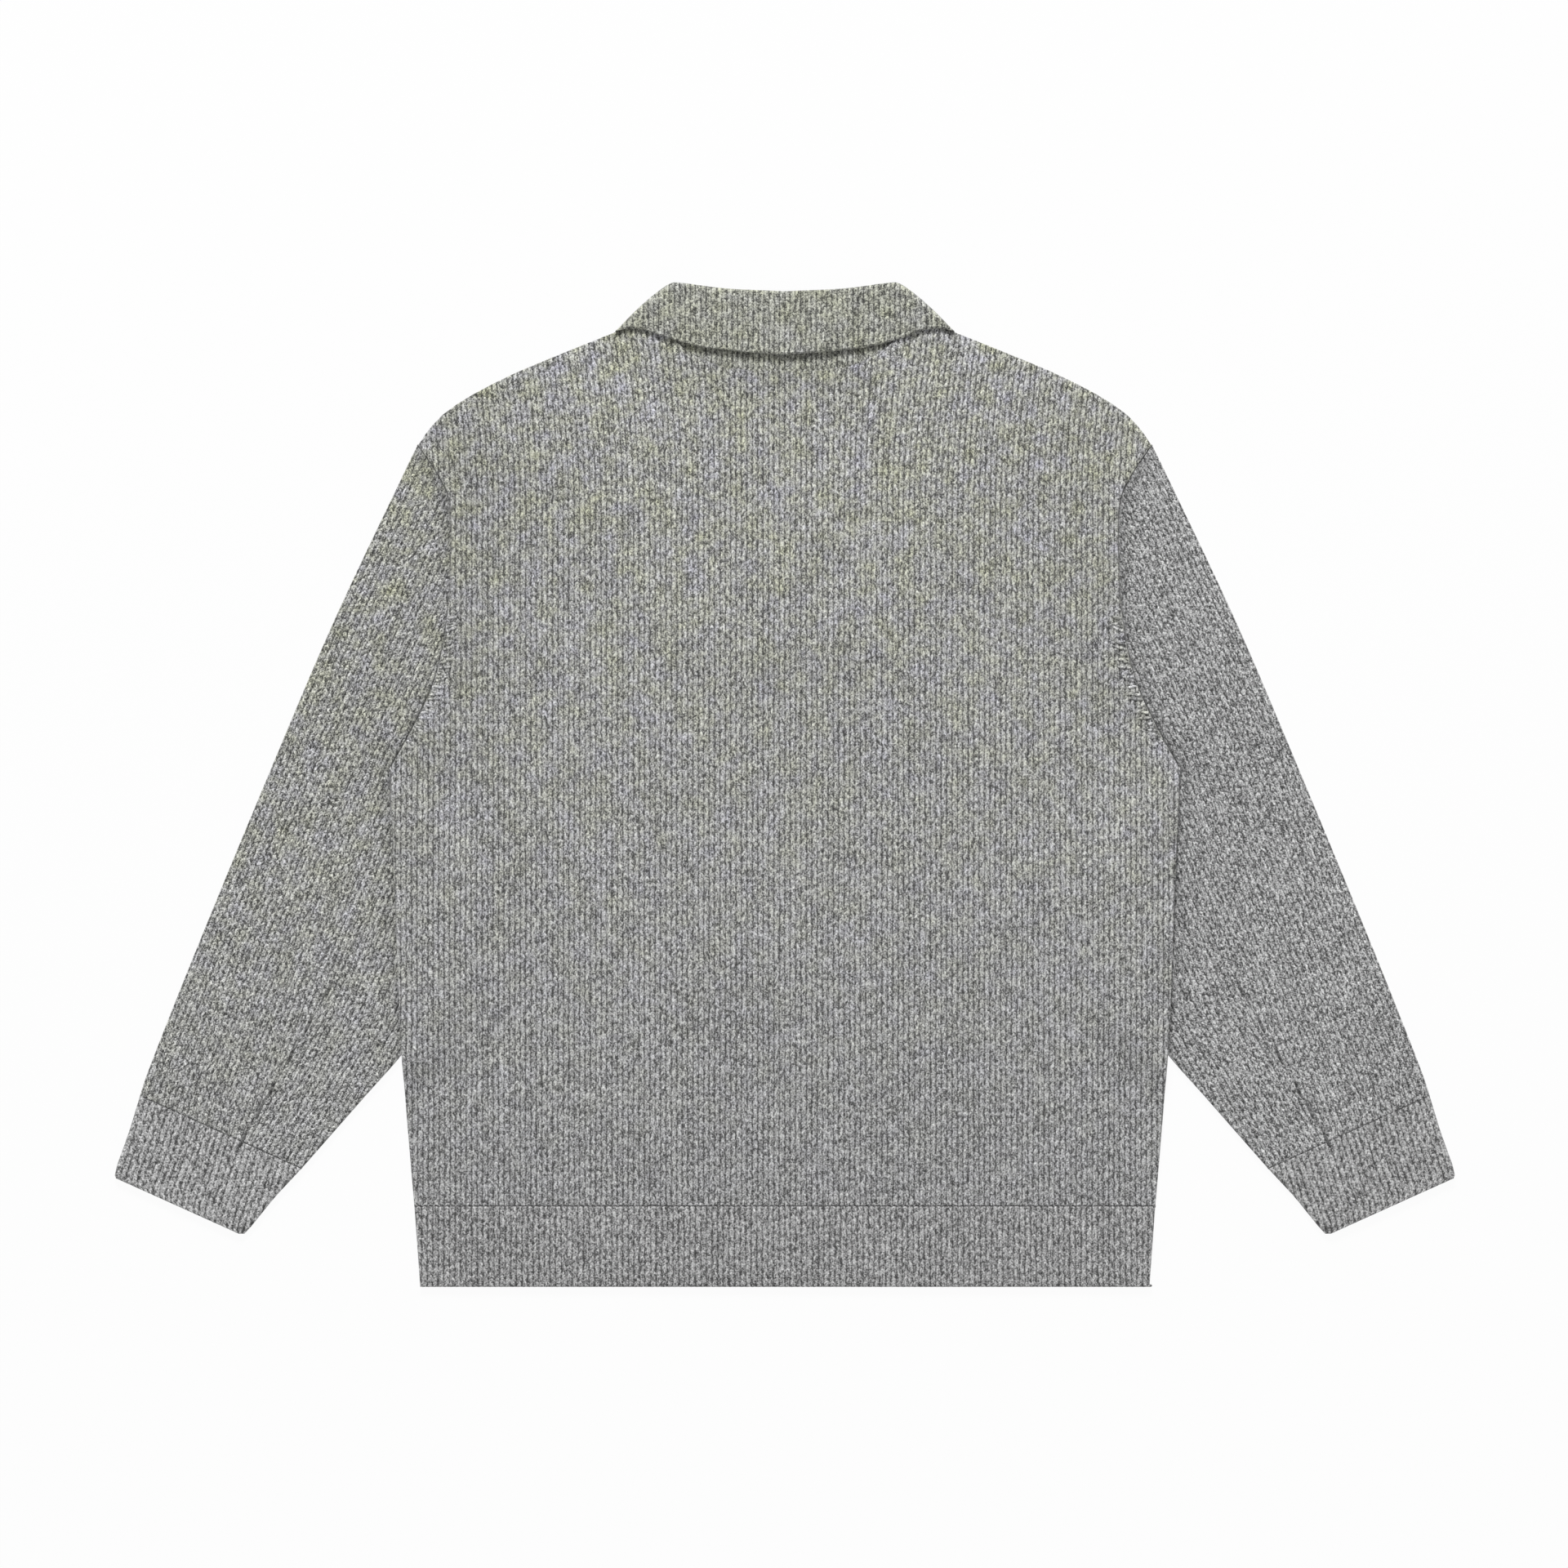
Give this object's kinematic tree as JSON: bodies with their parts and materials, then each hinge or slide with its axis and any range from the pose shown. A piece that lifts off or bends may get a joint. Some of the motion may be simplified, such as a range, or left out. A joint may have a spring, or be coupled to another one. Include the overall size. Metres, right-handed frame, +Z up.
{
  "type": "shawl collar pullover laid flat",
  "caption": "Ribbed shawl collar pullover laid flat with its back up, with drop shoulders, long sleeves tucked under its sides, cuffs and a hem band.",
  "frame": {"origin": "middle of the garment's outline, on the surface that it lies on", "axes": "+X to the side of the right sleeve, +Y from the hem to the collar, +Z up out of the garment's back"},
  "size_m": [0.9846, 0.7368, 0.0117],
  "materials": {
    "back_knit": "matte wool rib, grey melange",
    "front_knit": "matte wool rib, grey melange",
    "hem_knit": "matte wool rib, grey melange",
    "sleeve_knit": "matte wool rib, grey melange",
    "cuff_knit": "matte wool rib, grey melange",
    "collar_knit": "matte wool rib, grey melange"
  },
  "bodies": {
    "root": {"back": "back_knit", "front": "front_knit", "hem_band": "hem_knit", "sleeve_left": "sleeve_knit", "sleeve_right": "sleeve_knit", "cuff_left": "cuff_knit", "cuff_right": "cuff_knit", "collar": "collar_knit"}
  },
  "joints": []
}
